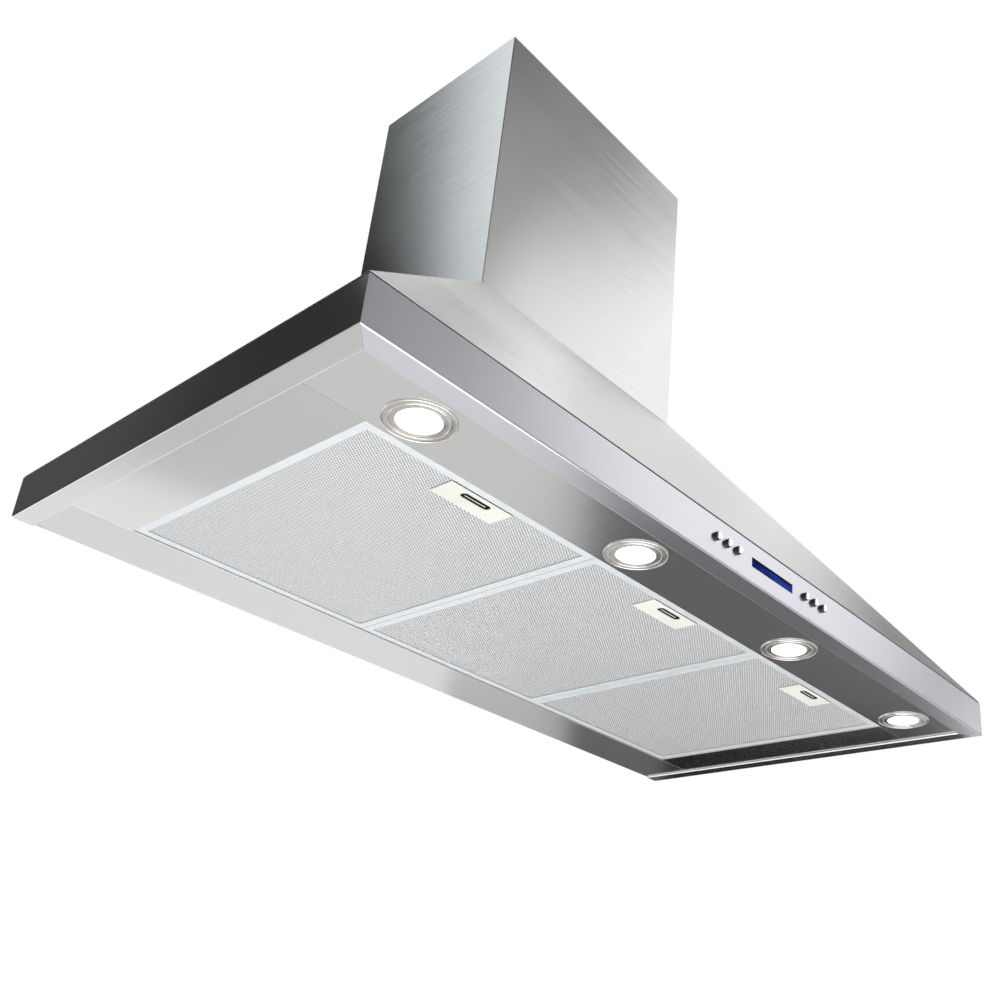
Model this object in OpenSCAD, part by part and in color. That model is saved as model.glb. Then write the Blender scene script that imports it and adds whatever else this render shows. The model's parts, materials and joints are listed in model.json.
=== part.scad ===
// Canopy range hood: a wall hung pyramid canopy with a telescopic chimney,
// three hinged grease filters, four downlights, push buttons and a centrifugal blower.
// Frame: origin on the wall, at the middle of the canopy's bottom edge.
// +X to the right seen from the front, +Y into the wall, +Z up. Millimetres.

/* [Canopy] */
// Width of the canopy
hood_w = 1200; // [1180:10:1240]
// Depth of the canopy from the wall to the fascia
hood_d = 606; // [600:2:630]
// Height of the upright skirt round the bottom
skirt_h = 52; // [50:1:58]
// Height at which the sloping panels end and the chimney begins
slope_top = 452; // [450:1:470]
// Thickness of the steel sheet
sheet = 1; // [0.8:0.1:1.2]
// Width of the rim that the side skirts turn inwards
side_rim = 26; // [24:1:30]
// Width of the rim that the fascia turns inwards
front_rim = 27; // [24:1:30]

/* [Chimney] */
// Width of the lower chimney cover
chimney_w = 422; // [418:1:430]
// Depth of the lower chimney cover
chimney_d = 289; // [286:1:296]
// Height of the top of the lower chimney cover
chimney_top = 917; // [880:1:960]

/* [Underside] */
// Depth of the light panel behind the front rim
light_panel_d = 86; // [84:1:90]
// Depth of the panel along the wall
wall_strip_d = 87; // [85:1:90]
// Width of the opening that the three filters fill
filter_bay_w = 1000; // [990:2:1010]
// Height of the underside panels above the bottom edge
panel_z = 2.5; // [2:0.1:3]

/* [Lamps] */
// Distance between neighbouring lamps
lamp_pitch = 320; // [300:5:325]
// Offset of the row of lamps from the middle
lamp_shift = 8; // [0:1:10]
// Distance from the fascia to the lamp centres
lamp_setback = 71; // [70:1:73]
// Radius of a lamp's outer bezel
lamp_r = 35.8; // [34:0.2:36]

/* [Controls] */
// Offset of the control group from the middle
control_shift = 13; // [0:1:20]
// Distance between neighbouring buttons
button_pitch = 20.8; // [20:0.2:22]
// Distance from the middle of the controls to the nearest button of each set
button_start = 72.8; // [72:0.2:80]
// Radius of a button
button_r = 4.8; // [4:0.1:5]
// How far a button stands out of the fascia
button_out = 5; // [3:0.5:6]
// Width of the display window
display_w = 88; // [80:1:96]
// Height of the display window
display_h = 12; // [10:1:14]

/* [Blower] */
// Outer radius of the impeller
impeller_r = 90; // [84:1:92]
// Outer radius of the duct spigot
spigot_r = 75; // [75:0.5:76]
// Height of the duct spigot above the mounting plate
spigot_h = 60; // [55:1:70]

/* [Hidden] */
$fn = 64;
half_w = hood_w / 2;
front_y = -hood_d;
gap = 0.4;                       // clearance between bodies that move past each other
seam = 0.6;                      // shadow gap between the skirt and the slopes

// Slopes
slope_rise = slope_top - skirt_h;
side_run = half_w - chimney_w / 2;
front_run = hood_d - chimney_d;
side_inset = sheet * norm([slope_rise, side_run]) / slope_rise;
front_inset = sheet * norm([slope_rise, front_run]) / slope_rise;

// Underside
lip = sheet;                     // thickness of every turned lip
fold = 12;                       // width of the return along the top of the skirt
panel_top = panel_z + sheet;
lip_top = 6.8;                   // height of the lips beside the filters
bay_front = front_y + front_rim + light_panel_d;
bay_rear = -wall_strip_d;
bay_half = filter_bay_w / 2;
panel_half = half_w - sheet - 0.5;
corner_relief = [9, 6];          // notch at the rear corners of the wall strip

// Chimney covers, their bracket and screws
cover_lip = 14;                  // width of the returns of both covers
upper_in = sheet + 1.8;          // distance from the lower cover's outside to the upper cover's
upper_z = [slope_top + sheet + 0.5, chimney_top - 4];
upper_rear = -3;
bracket_t = 1.5;
bracket_h = 25;
bracket_drop = 32;               // from the upper cover's top to the bracket's bottom
bracket_arm = 24;                // length of each arm, and of the ear beyond it
ear_w = 17;
screw_xs = [-1, 1] * (chimney_w / 2 - 9);
screw_ys = [-250, -40];
screw_r = 2.1;
screw_head = [3.6, 2.4];         // radius and height

// Wall fixing holes and the hood's hanging pattern
wall_hole_r = 4;
wall_holes_x = 300;
wall_holes_z = 240;
wall_holes_mid_z = 260;
bracket_hole_r = 3;
bracket_holes_x = 300;

// Filters
filter_count = 3;
filter_pitch = filter_bay_w / filter_count;
filter_w = filter_pitch - 0.8;
filter_front = bay_front + 0.8;
filter_rear = bay_rear - 0.8;
filter_z = 4;
filter_t = 9;
frame_w = 11;
frame_t = 0.8;
mesh_t = 1.5;
latch_w = 87;
latch_d = 33.5;
latch_setback = 12.5;
latch_t = 1;
slot_half = 15;                  // from the middle of the slot to the centre of each round end
slot_r = 5;
slot_y = filter_front + 23.7;
box_w = 48;
box_d = 22.4;
box_wall = 1.2;
box_top = 11.2;
bolt_w = 18;
bolt_z = [7.2, 9.7];
slider_w = 44.6;
slider_d = 12;
slider_rail = 2.5;
finger_bar = [0.2, 1.4];         // front and rear faces of the finger bar, from the slot's middle
finger_bar_w = 30;
rail_drop = 0.3;                 // clearance between the rails and the slider
tongue_w = 40;
tongue_x = 95;
tongue_l = 8;                    // reach of a tongue over the wall strip's lip
tongue_z = [7.2, 8.2];

// Lamps
lamp_count = 4;
lamp_y = front_y + lamp_setback;
lamp_hole_r = 31;
lens_r = 21.75;
lens_seat = 0.5;                 // width of the ledge that the lens sits on
lens_z = 1.9;
inner_ring_r = 28.75;
bezel_z = 1;                     // lowest point of a bezel
bead = (panel_z - bezel_z) / 2;   // radius of the two beads of a bezel
sleeve = [1.2, 5];               // thickness and height of the bezel's sleeve
can_r = 27;
can_top = 30;
fin_pitch = 6;
fin_t = 2;
fin_out = 1.5;
clip_w = 12;
clip_z = 9;                      // height at which a spring leaf leaves the can
clip_reach = 18;
clip_t = 0.9;

// Controls
button_z = 28;
button_hole_r = button_r + 0.3;
button_xs = [for (side = [-1, 1], i = [0:2]) control_shift + side * (button_start + i * button_pitch)];
display_z = 26.5;
guide_y = front_y + 6;           // front face of the wall that guides the button stems
guide_t = 2;
stem_r = 2.5;
stem_fit = 0.08;
stem_end = front_y + 14;
button_flange = [1.2, 1];        // how far a button's flange stands out of its side, and its thickness
window_fit = 0.2;
housing_wall = 2;
board_t = 1.6;
switch_size = [6, 1.7, 6];
control_half = 131;
control_z = [9, 46];
control_back = front_y + 22;
board_y = front_y + 18;

// Duct and blower
duct_y = -chimney_d / 2 - 0.5;
plate_z = slope_top - sheet;     // underside of the mounting plate
spigot_t = 1.5;
spigot_in = spigot_r - spigot_t;
flange_t = 1.5;
flange_size = [190, 176, flange_t];
blower_screw_at = [for (x = [-1, 1], y = [-1, 1])
    [x * (flange_size.x / 2 - 7), duct_y + y * (flange_size.y / 2 - 7)]];
flap_z = slope_top + 23;
flap_r = spigot_in - 2;
flap_pin_r = 1.5;
knuckle_r = 3.2;
knuckle_fit = 0.05;
knuckle_gap = 0.2;               // clearance at each end of a knuckle
flap_t = 1;
front_knuckles = [[-62, -42], [-20, 0]];
rear_knuckles = [for (k = front_knuckles) [-k[1], -k[0]]];
ledge = [4, 3.1, 3.5];           // the flaps' seat: drop below the pin, height, and width
fan_y = -225;
fan_z = 300;
volute_r = 150;                  // scroll radius where the air leaves
cutoff_r = 110;                  // scroll radius at the cut-off
volute_end = 275;                // degrees of wrap
housing_half = 78;
housing_t = 1.2;
mouth_front = fan_y + 10;
mouth_rear = fan_y + volute_r;
mouth_z = plate_z - flange_t;
inlet_r = 72;
inlet_ring = [4, 5];             // width and height of the ring round an inlet
blade_count = 24;
blade_in = 75;
blade_l = 14;
blade_t = 0.8;
blade_lean = 20;
impeller_half = 70;
impeller_ring = 2;               // thickness of the end rings
impeller_disc = 2;               // thickness of the disc
hub_r = 12;
hub_len = 14;
shaft_r = 4;
shaft_fit = 0.05;
shaft_x = [-60, 18];
motor_r = 45;
motor_x = [-64, -14];
boss_out = 6;                    // how far a bearing boss stands out of the motor
bracket_x = -housing_half - inlet_ring[1];
arm_t = 2;

// Mains connection
gland_pos = [150, -60];
gland_hole_r = 8;
gland_bore_r = 4;
gland_len = 30;
nut_r = 12;
nut_h = 5;
box_lo = [225, -46, 70];
box_hi = [355, -sheet, 130];
box_t = 2;
box_ear = 12;

// ---- helpers ----

// A box from its lowest to its highest corner
module span(lo, hi) {
    translate(lo) cube(hi - lo);
}

// A bar along X from a profile drawn in Y and Z
module bar_x(x0, x1) {
    translate([x0, 0, 0]) rotate([90, 0, 90]) linear_extrude(x1 - x0) children();
}

// A bar along Y from a profile drawn in X and Z
module bar_y(y0, y1) {
    translate([0, y1, 0]) rotate([90, 0, 0]) linear_extrude(y1 - y0) children();
}

// A cylinder along X
module rod_x(r, x0, x1) {
    translate([x0, 0, 0]) rotate([0, 90, 0]) cylinder(r = r, h = x1 - x0);
}

// A cylinder along Y
module rod_y(r, y0, y1) {
    translate([0, y0, 0]) rotate([-90, 0, 0]) cylinder(r = r, h = y1 - y0);
}

// ---- canopy ----

// A flat sheet between an outer and an inner outline of four corners each
module slab(outer, inner) {
    polyhedron(
        points = concat(outer, inner),
        faces = [[0, 1, 2, 3], [7, 6, 5, 4], [1, 0, 4, 5], [2, 1, 5, 6], [3, 2, 6, 7], [0, 3, 7, 4]]
    );
}

// Corners of the front slope, moved in by the sheet when inset is 1
function front_slope_corners(inset) = [
    [-half_w + inset * side_inset, front_y + inset * front_inset, skirt_h],
    [-chimney_w / 2 + inset * side_inset, -chimney_d + inset * front_inset, slope_top],
    [chimney_w / 2 - inset * side_inset, -chimney_d + inset * front_inset, slope_top],
    [half_w - inset * side_inset, front_y + inset * front_inset, skirt_h]
];

// Corners of the right slope, moved in by the sheet when inset is 1
function right_slope_corners(inset) = [
    [half_w - inset * side_inset, front_y + inset * front_inset, skirt_h],
    [chimney_w / 2 - inset * side_inset, -chimney_d + inset * front_inset, slope_top],
    [chimney_w / 2 - inset * side_inset, 0, slope_top],
    [half_w - inset * side_inset, 0, skirt_h]
];

module front_slope() {
    color("gainsboro") slab(front_slope_corners(0), front_slope_corners(1));
}

module right_slope() {
    color("silver") slab(right_slope_corners(0), right_slope_corners(1));
}

module left_slope() {
    mirror([1, 0, 0]) right_slope();
}

// Profile of a skirt: face, rim, rim lip and top return, drawn inwards from the outer face
module skirt_profile(rim) {
    top = skirt_h - seam;
    polygon([
        [0, 0], [rim, 0], [rim, panel_z], [rim - lip, panel_z], [rim - lip, sheet], [sheet, sheet],
        [sheet, top - sheet], [fold, top - sheet], [fold, top], [0, top]
    ]);
}

// Plan of the mitre between the fascia and the side skirts
module mitre_plan() {
    translate([0, 0, -1]) linear_extrude(skirt_h + 2)
        polygon([[-half_w, front_y], [half_w, front_y], [0, front_y + half_w]]);
}

module fascia_panel() {
    color("lightsteelblue") difference() {
        intersection() {
            bar_x(-half_w, half_w) translate([front_y, 0]) skirt_profile(front_rim);
            mitre_plan();
        }
        for (x = button_xs) translate([x, 0, button_z]) rod_y(button_hole_r, front_y - 1, front_y + 2);
        span([control_shift - display_w / 2, front_y - 1, display_z - display_h / 2],
             [control_shift + display_w / 2, front_y + 2, display_z + display_h / 2]);
    }
}

module left_skirt() {
    color("dimgray") difference() {
        bar_y(front_y, -sheet) translate([-half_w, 0]) skirt_profile(side_rim);
        mitre_plan();
    }
}

module right_skirt() {
    mirror([1, 0, 0]) left_skirt();
}

// The wall sheet with the strip that it turns forward under the canopy
module back_panel() {
    color("silver") difference() {
        union() {
            rotate([90, 0, 0]) linear_extrude(sheet) polygon([
                [-half_w, 0], [half_w, 0], [half_w, skirt_h - seam], [panel_half, skirt_h - seam],
                [chimney_w / 2 - 2, slope_top - 3], [-chimney_w / 2 + 2, slope_top - 3],
                [-panel_half, skirt_h - seam], [-half_w, skirt_h - seam]
            ]);
            bar_x(-panel_half, panel_half) polygon([
                [-sheet, panel_z], [-wall_strip_d, panel_z], [-wall_strip_d, lip_top],
                [-wall_strip_d + lip, lip_top], [-wall_strip_d + lip, panel_top], [-sheet, panel_top]
            ]);
        }
        for (x = [-1, 1], z = [-1, 1])
            translate([x * wall_holes_x / 2, 0, wall_holes_mid_z + z * wall_holes_z / 2])
                rod_y(wall_hole_r, -2 * sheet, sheet);
        for (x = [-1, 1])
            translate([x * (half_w - side_rim - corner_relief.x / 2), -corner_relief.y / 2 - sheet, panel_z])
                cube([corner_relief.x, corner_relief.y, 3 * sheet], center = true);
    }
}

// The mounting plate that closes the top of the canopy
module blower_plate() {
    w = chimney_w / 2 - side_inset - 0.2;
    color("lightgray") difference() {
        span([-w, -chimney_d + front_inset + 0.3, plate_z], [w, -sheet, slope_top]);
        translate([0, duct_y, plate_z - 1]) cylinder(r = spigot_in, h = 3 * sheet);
        translate([gland_pos.x, gland_pos.y, plate_z - 1]) cylinder(r = gland_hole_r, h = 3 * sheet);
        screw_holes();
    }
}

// ---- underside panels ----

function lamp_x(i) = lamp_shift + (i - (lamp_count - 1) / 2) * lamp_pitch;

module light_panel() {
    color("darkgray") difference() {
        bar_x(-panel_half, panel_half) polygon([
            [front_y + 1.5, panel_z], [bay_front, panel_z], [bay_front, lip_top],
            [bay_front - lip, lip_top], [bay_front - lip, panel_top], [front_y + 1.5, panel_top]
        ]);
        for (i = [0:lamp_count - 1])
            translate([lamp_x(i), lamp_y, 0]) cylinder(r = lamp_hole_r, h = 2 * panel_top);
    }
}

module right_filler_panel() {
    color("darkgray") bar_y(bay_front + 0.5, bay_rear - 0.5) polygon([
        [bay_half, panel_z], [panel_half, panel_z], [panel_half, panel_top],
        [bay_half + lip, panel_top], [bay_half + lip, fold], [bay_half, fold]
    ]);
}

module left_filler_panel() {
    mirror([1, 0, 0]) right_filler_panel();
}

// ---- chimney ----

// Plan of a cover: a front, two sides and a return along the wall at each side
module cover_plan(half, front, rear, returns) {
    for (s = [-1, 1]) scale([s, 1]) {
        translate([half - sheet, front]) square([sheet, rear - front]);
        translate([half - returns, rear - sheet]) square([returns, sheet]);
    }
    translate([-half, front]) square([2 * half, sheet]);
}

module chimney_lower_cover() {
    half = chimney_w / 2;
    color("lightgray") difference() {
        union() {
            translate([0, 0, slope_top]) linear_extrude(chimney_top - slope_top)
                cover_plan(half, -chimney_d, 0, cover_lip);
            difference() {
                span([-half, -chimney_d, slope_top], [half, 0, slope_top + sheet]);
                span([-half + cover_lip + 2, -chimney_d + cover_lip, slope_top - 1],
                     [half - cover_lip - 2, 1, slope_top + 2 * sheet]);
            }
        }
        for (x = screw_xs, y = screw_ys) translate([x, y, slope_top - 1]) cylinder(r = screw_r, h = 3 * sheet);
    }
}

module chimney_upper_cover() {
    color("darkgray") translate([0, 0, upper_z[0]]) linear_extrude(upper_z[1] - upper_z[0])
        cover_plan(chimney_w / 2 - upper_in, -chimney_d + upper_in, upper_rear, cover_lip - 2);
}

// Hat shaped strip that fastens the upper cover to the wall
module chimney_wall_bracket() {
    t = bracket_t;
    arm = bracket_arm;
    ear = chimney_w / 2 - upper_in - sheet;
    web = ear - ear_w;
    color("gray") translate([0, 0, upper_z[1] - bracket_drop]) difference() {
        union() {
            span([-web, -t, 0], [web, 0, bracket_h]);
            for (s = [-1, 1]) scale([s, 1, 1]) {
                span([web - t, -arm, 0], [web, 0, bracket_h]);
                span([web - t, -arm - t, 0], [ear, -arm, bracket_h]);
                span([ear - t, -2 * arm, 0], [ear, -arm, bracket_h]);
            }
        }
        for (s = [-1, 1])
            translate([s * bracket_holes_x / 2, 0, bracket_h / 2]) rod_y(bracket_hole_r, -2 * t, t);
    }
}

// Screws up into the lower cover's bottom flange, and down through the spigot's flange into the blower's
module mounting_screws() {
    color("dimgray") {
        for (x = screw_xs, y = screw_ys) translate([x, y, 0]) {
            translate([0, 0, plate_z - screw_head[1]]) cylinder(r = screw_head[0], h = screw_head[1]);
            translate([0, 0, plate_z - 1]) cylinder(r = screw_r, h = 6);
        }
        for (p = blower_screw_at) translate([p.x, p.y, 0]) {
            translate([0, 0, slope_top + flange_t]) cylinder(r = screw_head[0], h = screw_head[1]);
            translate([0, 0, mouth_z - 4]) cylinder(r = screw_r, h = slope_top + 2 - mouth_z + 4);
        }
    }
}

module screw_holes() {
    for (x = screw_xs, y = screw_ys) translate([x, y, plate_z - 1]) cylinder(r = screw_r, h = 3 * sheet);
    for (p = blower_screw_at) translate([p.x, p.y, mouth_z - 1]) cylinder(r = screw_r, h = 8);
}

// ---- filters ----

function filter_x(i) = (i - (filter_count + 1) / 2) * filter_pitch;

// The latch bolt's window in the front of a frame or box
module bolt_window(y0, y1) {
    span([-bolt_w / 2 - gap, y0, bolt_z[0] - gap], [bolt_w / 2 + gap, y1, bolt_z[1] + gap]);
}

// A folded channel round the filter, with two tongues that hook over the wall strip's lip
module filter_frame(i) {
    half = filter_w / 2;
    color("whitesmoke") translate([filter_x(i), 0, 0]) {
        difference() {
            span([-half, filter_front, filter_z], [half, filter_rear, filter_z + filter_t]);
            span([-half + frame_w, filter_front + frame_w, 0],
                 [half - frame_w, filter_rear - frame_w, 2 * filter_t]);
            span([-half + frame_t, filter_front + frame_t, filter_z + frame_t],
                 [half - frame_t, filter_rear - frame_t, filter_z + filter_t - frame_t]);
            bolt_window(filter_front - 1, filter_front + 2);
        }
        for (s = [-1, 1])
            span([s * tongue_x - tongue_w / 2, filter_rear - frame_t, tongue_z[0]],
                 [s * tongue_x + tongue_w / 2, filter_rear + tongue_l, tongue_z[1]]);
    }
}

module filter_mesh(i) {
    half = filter_w / 2 - frame_t;
    z = filter_z + frame_t;
    color("lightgray") translate([filter_x(i), 0, 0]) difference() {
        span([-half, filter_front + frame_t, z], [half, filter_rear - frame_t, z + mesh_t]);
        span([-box_w / 2, slot_y - box_d / 2, 0], [box_w / 2, slot_y + box_d / 2, 2 * z]);
    }
}

// Cream plate with a slot, and the box behind it that holds the slider
module filter_latch_plate(i) {
    z = filter_z + frame_t;
    color("ivory") translate([filter_x(i), 0, 0]) difference() {
        union() {
            span([-latch_w / 2, filter_front + latch_setback, z - latch_t],
                 [latch_w / 2, filter_front + latch_setback + latch_d, z]);
            span([-box_w / 2, slot_y - box_d / 2, z - latch_t], [box_w / 2, slot_y + box_d / 2, box_top]);
        }
        span([-box_w / 2 + box_wall, slot_y - box_d / 2 + box_wall, z],
             [box_w / 2 - box_wall, slot_y + box_d / 2 - box_wall, box_top - box_wall]);
        span([-slot_half, slot_y - slot_r, 0], [slot_half, slot_y + slot_r, bolt_z[0]]);
        for (s = [-1, 1]) translate([s * slot_half, slot_y, 0]) cylinder(r = slot_r, h = bolt_z[0]);
        bolt_window(slot_y - box_d / 2 - 1, slot_y);
    }
    color("ivory") translate([filter_x(i), 0, 0]) for (s = [-1, 1]) scale([s, 1, 1])
        span([box_w / 2 - box_wall - slider_rail, slot_y - box_d / 2 + box_wall, z],
             [box_w / 2 - box_wall, slot_y + box_d / 2 - box_wall, bolt_z[0] - rail_drop]);
}

// Finger bar, slide plate and bolt in one piece
module filter_latch_slider(i) {
    color("silver") translate([filter_x(i), 0, 0]) {
        span([-slider_w / 2, slot_y - slider_d / 2, bolt_z[0]],
             [slider_w / 2, slot_y + slider_d / 2, bolt_z[1]]);
        span([-bolt_w / 2, filter_front + 0.1, bolt_z[0]], [bolt_w / 2, slot_y, bolt_z[1]]);
        span([-finger_bar_w / 2, slot_y + finger_bar[0], filter_z + gap],
             [finger_bar_w / 2, slot_y + finger_bar[1], bolt_z[0] + 0.5]);
    }
}

// ---- lamps ----

// Outer bead, flat ring, inner bead and the dish down to the lens
module lamp_bezel(i) {
    color("whitesmoke") translate([lamp_x(i), lamp_y, 0]) rotate_extrude() {
        difference() {
            translate([lens_r, bezel_z + 0.7]) square([lamp_r - bead - lens_r, panel_z - bezel_z - 0.7]);
            translate([lens_r - 1, lens_z]) square([1 + lens_seat, 2]);
        }
        for (r = [lamp_r - bead, inner_ring_r]) translate([r, bezel_z + bead]) {
            circle(r = bead);
            translate([-bead, 0]) square([2 * bead, bead]);
        }
        translate([lamp_hole_r - 0.8 - sleeve[0], panel_z - 0.2]) square(sleeve);
    }
}

module lamp_lens(i) {
    color("white") translate([lamp_x(i), lamp_y, lens_z])
        cylinder(r = lens_r + lens_seat, h = panel_top - lens_z);
}

// Pressed cans with cooling rings, one above each lamp
module lamp_cans() {
    color("darkgray") for (i = [0:lamp_count - 1]) translate([lamp_x(i), lamp_y, 0]) {
        translate([0, 0, panel_top]) cylinder(r = can_r, h = can_top - panel_top);
        for (z = [2 * fin_pitch:fin_pitch:can_top - fin_t])
            translate([0, 0, z]) cylinder(r = can_r + fin_out, h = fin_t);
    }
}

// Two spring leaves a lamp, from the can down to the panel
module lamp_clips() {
    color("silver") for (i = [0:lamp_count - 1], s = [-1, 1])
        translate([lamp_x(i), lamp_y, 0]) scale([s, 1, 1]) bar_y(-clip_w / 2, clip_w / 2) polygon([
            [can_r, clip_z], [can_r, clip_z + 1.4], [can_r + 4, clip_z + 1.4],
            [can_r + clip_reach - 4, panel_top + clip_t], [can_r + clip_reach, panel_top + clip_t],
            [can_r + clip_reach, panel_top], [can_r + clip_reach - 4.4, panel_top],
            [can_r + 3.6, clip_z]
        ]);
}

// ---- controls ----

// A cap that stands out of the fascia, the flange that keeps it in, and its stem
module button(i) {
    color("silver") translate([button_xs[i], 0, button_z]) {
        rod_y(button_r, front_y - button_out, front_y + 2);
        rod_y(button_r + button_flange[0], front_y + 1.6, front_y + 1.6 + button_flange[1]);
        rod_y(stem_r, front_y + 2, stem_end);
    }
}

module display_window() {
    color("darkblue") span(
        [control_shift - display_w / 2 + window_fit, front_y + 0.5, display_z - display_h / 2 + window_fit],
        [control_shift + display_w / 2 - window_fit, front_y + 2.5, display_z + display_h / 2 - window_fit]);
}

module display_module() {
    color("black") span(
        [control_shift - display_w / 2 - 4, front_y + 2.5, display_z - 9],
        [control_shift + display_w / 2 + 4, guide_y, display_z + 9]);
}

// Moulded frame behind the fascia, with a web that guides the button stems
module control_housing() {
    wall = housing_wall;
    lo = [control_shift - control_half, front_y + sheet, control_z[0]];
    hi = [control_shift + control_half, control_back, control_z[1]];
    color("dimgray") difference() {
        span(lo, hi);
        span([lo.x + wall, lo.y - 1, lo.z + wall], [hi.x - wall, guide_y, hi.z - wall]);
        span([lo.x + wall, guide_y + guide_t, lo.z + wall], [hi.x - wall, hi.y + 1, hi.z - wall]);
        for (x = button_xs)
            translate([x, 0, button_z]) rod_y(stem_r + stem_fit, guide_y - 1, guide_y + guide_t + 1);
    }
}

// Circuit board with a push switch behind each stem
module control_board() {
    color("darkgreen") {
        span([control_shift - control_half + housing_wall, board_y, control_z[0] + housing_wall],
             [control_shift + control_half - housing_wall, board_y + board_t, control_z[1] - housing_wall]);
        for (x = button_xs)
            translate([x, board_y - switch_size.y / 2, button_z]) cube(switch_size, center = true);
    }
}

// ---- blower ----

function volute_at(a) = volute_r - (volute_r - cutoff_r) * a / volute_end;

// Outline of the scroll, grown outwards
module volute(grow, mouth) {
    polygon(concat(
        [[mouth_rear + grow, mouth]],
        [for (a = [0:5:volute_end - 5])
            [fan_y + (volute_at(a) + grow) * cos(a), fan_z - (volute_at(a) + grow) * sin(a)]],
        [[mouth_front - grow, fan_z + cutoff_r + grow], [mouth_front - grow, mouth]]
    ));
}

// The band of sheet round the scroll, with the flange that bolts up under the plate
module blower_wrap() {
    color("lightslategray") {
        bar_x(-housing_half, housing_half) difference() {
            volute(housing_t, mouth_z);
            volute(0, mouth_z + 1);
        }
        difference() {
            translate([0, duct_y, mouth_z + flange_t / 2]) cube(flange_size, center = true);
            span([-housing_half, mouth_front, mouth_z - 1], [housing_half, mouth_rear, plate_z + 1]);
            screw_holes();
        }
    }
}

// A side sheet with its inlet ring
module blower_side() {
    difference() {
        union() {
            bar_x(housing_half, housing_half + housing_t) volute(6, mouth_z);
            translate([0, fan_y, fan_z])
                rod_x(inlet_r + inlet_ring[0], housing_half, housing_half + inlet_ring[1]);
        }
        translate([0, fan_y, fan_z]) rod_x(inlet_r, housing_half - 1, housing_half + inlet_ring[1] + 1);
    }
}

module blower_right_side() {
    color("slategray") blower_side();
}

module blower_left_side() {
    color("slategray") mirror([1, 0, 0]) blower_side();
}

// One flat blade of the wheel's right half, leaning forwards from the disc to the ring
module blade() {
    translate([impeller_disc / 2, blade_in, 0]) rotate([blade_lean, 0, 0])
        cube([impeller_half - impeller_ring - impeller_disc / 2, blade_l, blade_t]);
}

// Double width wheel: a disc with a boss, a ring at each end, and blades between them
module impeller() {
    color("slategray") translate([0, fan_y, fan_z]) {
        difference() {
            union() {
                rod_x(impeller_r, -impeller_disc / 2, impeller_disc / 2);
                rod_x(hub_r, 0, hub_len);
            }
            rod_x(shaft_r, -impeller_disc, hub_len + 1);
        }
        for (side = [-1, 1]) scale([side, 1, 1]) {
            for (a = [0:360 / blade_count:359]) rotate([a, 0, 0]) blade();
            difference() {
                rod_x(impeller_r, impeller_half - impeller_ring, impeller_half);
                rod_x(blade_in - 1, impeller_half - impeller_ring - 1, impeller_half + 1);
            }
        }
    }
}

module motor_shaft() {
    color("silver") translate([0, fan_y, fan_z]) rod_x(shaft_r, shaft_x[0], shaft_x[1]);
}

// Motor can inside the left half of the wheel, with a bearing boss at each end
module motor() {
    color("dimgray") translate([0, fan_y, fan_z]) difference() {
        union() {
            rod_x(motor_r, motor_x[0], motor_x[1]);
            rod_x(hub_r, motor_x[0] - boss_out, motor_x[1] + boss_out);
        }
        rod_x(shaft_r + shaft_fit, shaft_x[0] - 2, motor_x[1] + boss_out + 1);
    }
}

// Three arms from the motor's end to the left inlet ring
module motor_bracket() {
    x = bracket_x;
    color("gray") translate([0, fan_y, fan_z]) {
        difference() {
            union() {
                rod_x(26, x - arm_t, x);
                for (a = [0, 120, 240]) rotate([a, 0, 0])
                    span([x - arm_t, -7, 20], [x, 7, inlet_r + inlet_ring[0] - 1]);
            }
            rod_x(hub_r, x - arm_t - 1, x + 1);
        }
        for (a = [60, 180, 300]) rotate([a, 0, 0]) span([x - arm_t / 2, -5, 16], [motor_x[0], 5, 24]);
    }
}

// ---- duct spigot and damper ----

module duct_spigot() {
    color("dimgray") translate([0, duct_y, 0]) difference() {
        union() {
            translate([0, 0, slope_top]) cylinder(r = spigot_r, h = spigot_h);
            translate([0, 0, slope_top + flange_t / 2]) cube(flange_size, center = true);
        }
        difference() {
            translate([0, 0, slope_top - 1]) cylinder(r = spigot_in, h = spigot_h + 2);
            translate([0, 0, flap_z - ledge[0]]) difference() {
                cylinder(r = spigot_r, h = ledge[1]);
                translate([0, 0, -1]) cylinder(r = spigot_in - ledge[2], h = 2 * ledge[0]);
            }
        }
        translate([0, 0, flap_z]) rod_x(flap_pin_r, -spigot_r - 1, spigot_r + 1);
        translate([0, -duct_y, 0]) screw_holes();
    }
}

module damper_pin() {
    color("silver") translate([0, duct_y, flap_z]) rod_x(flap_pin_r, -spigot_r, spigot_r);
}

// A half disc with its knuckles, for the side that faces +Y
module flap(own, other) {
    difference() {
        union() {
            intersection() {
                translate([0, 0, -flap_t / 2]) cylinder(r = flap_r, h = flap_t);
                span([-flap_r, knuckle_r + 0.5, -1], [flap_r, flap_r, 1]);
            }
            for (k = own) {
                rod_x(knuckle_r, k[0] + knuckle_gap, k[1] - knuckle_gap);
                span([k[0] + knuckle_gap, 0, -flap_t / 2], [k[1] - knuckle_gap, knuckle_r + 1, flap_t / 2]);
            }
        }
        rod_x(flap_pin_r + knuckle_fit, -flap_r, flap_r);
        for (k = other) rod_x(knuckle_r + gap, k[0] - knuckle_gap, k[1] + knuckle_gap);
    }
}

module damper_rear() {
    color("gray") translate([0, duct_y, flap_z]) flap(rear_knuckles, front_knuckles);
}

module damper_front() {
    color("gray") translate([0, duct_y, flap_z]) mirror([0, 1, 0]) flap(front_knuckles, rear_knuckles);
}

// ---- mains connection ----

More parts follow.
